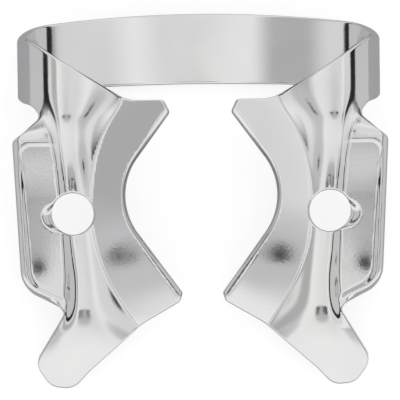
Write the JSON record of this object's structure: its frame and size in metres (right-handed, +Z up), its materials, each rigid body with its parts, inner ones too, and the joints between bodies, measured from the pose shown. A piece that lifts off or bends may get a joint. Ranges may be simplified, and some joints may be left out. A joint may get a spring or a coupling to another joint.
{
  "type": "rubber dam clamp",
  "caption": "Sprung sheet steel clamp with a wide bow and two winged jaws that grip a tooth, with a forceps hole in each jaw.",
  "frame": {"origin": "middle of the part on the surface that it lies on", "axes": "+X towards the right jaw, +Y towards the bow, +Z up from the surface to the gum side of the jaws"},
  "size_m": [0.025, 0.0258, 0.0077],
  "materials": {
    "polished_steel": "tumbled and polished spring steel"
  },
  "bodies": {
    "root": {"clamp": "polished_steel"}
  },
  "joints": []
}
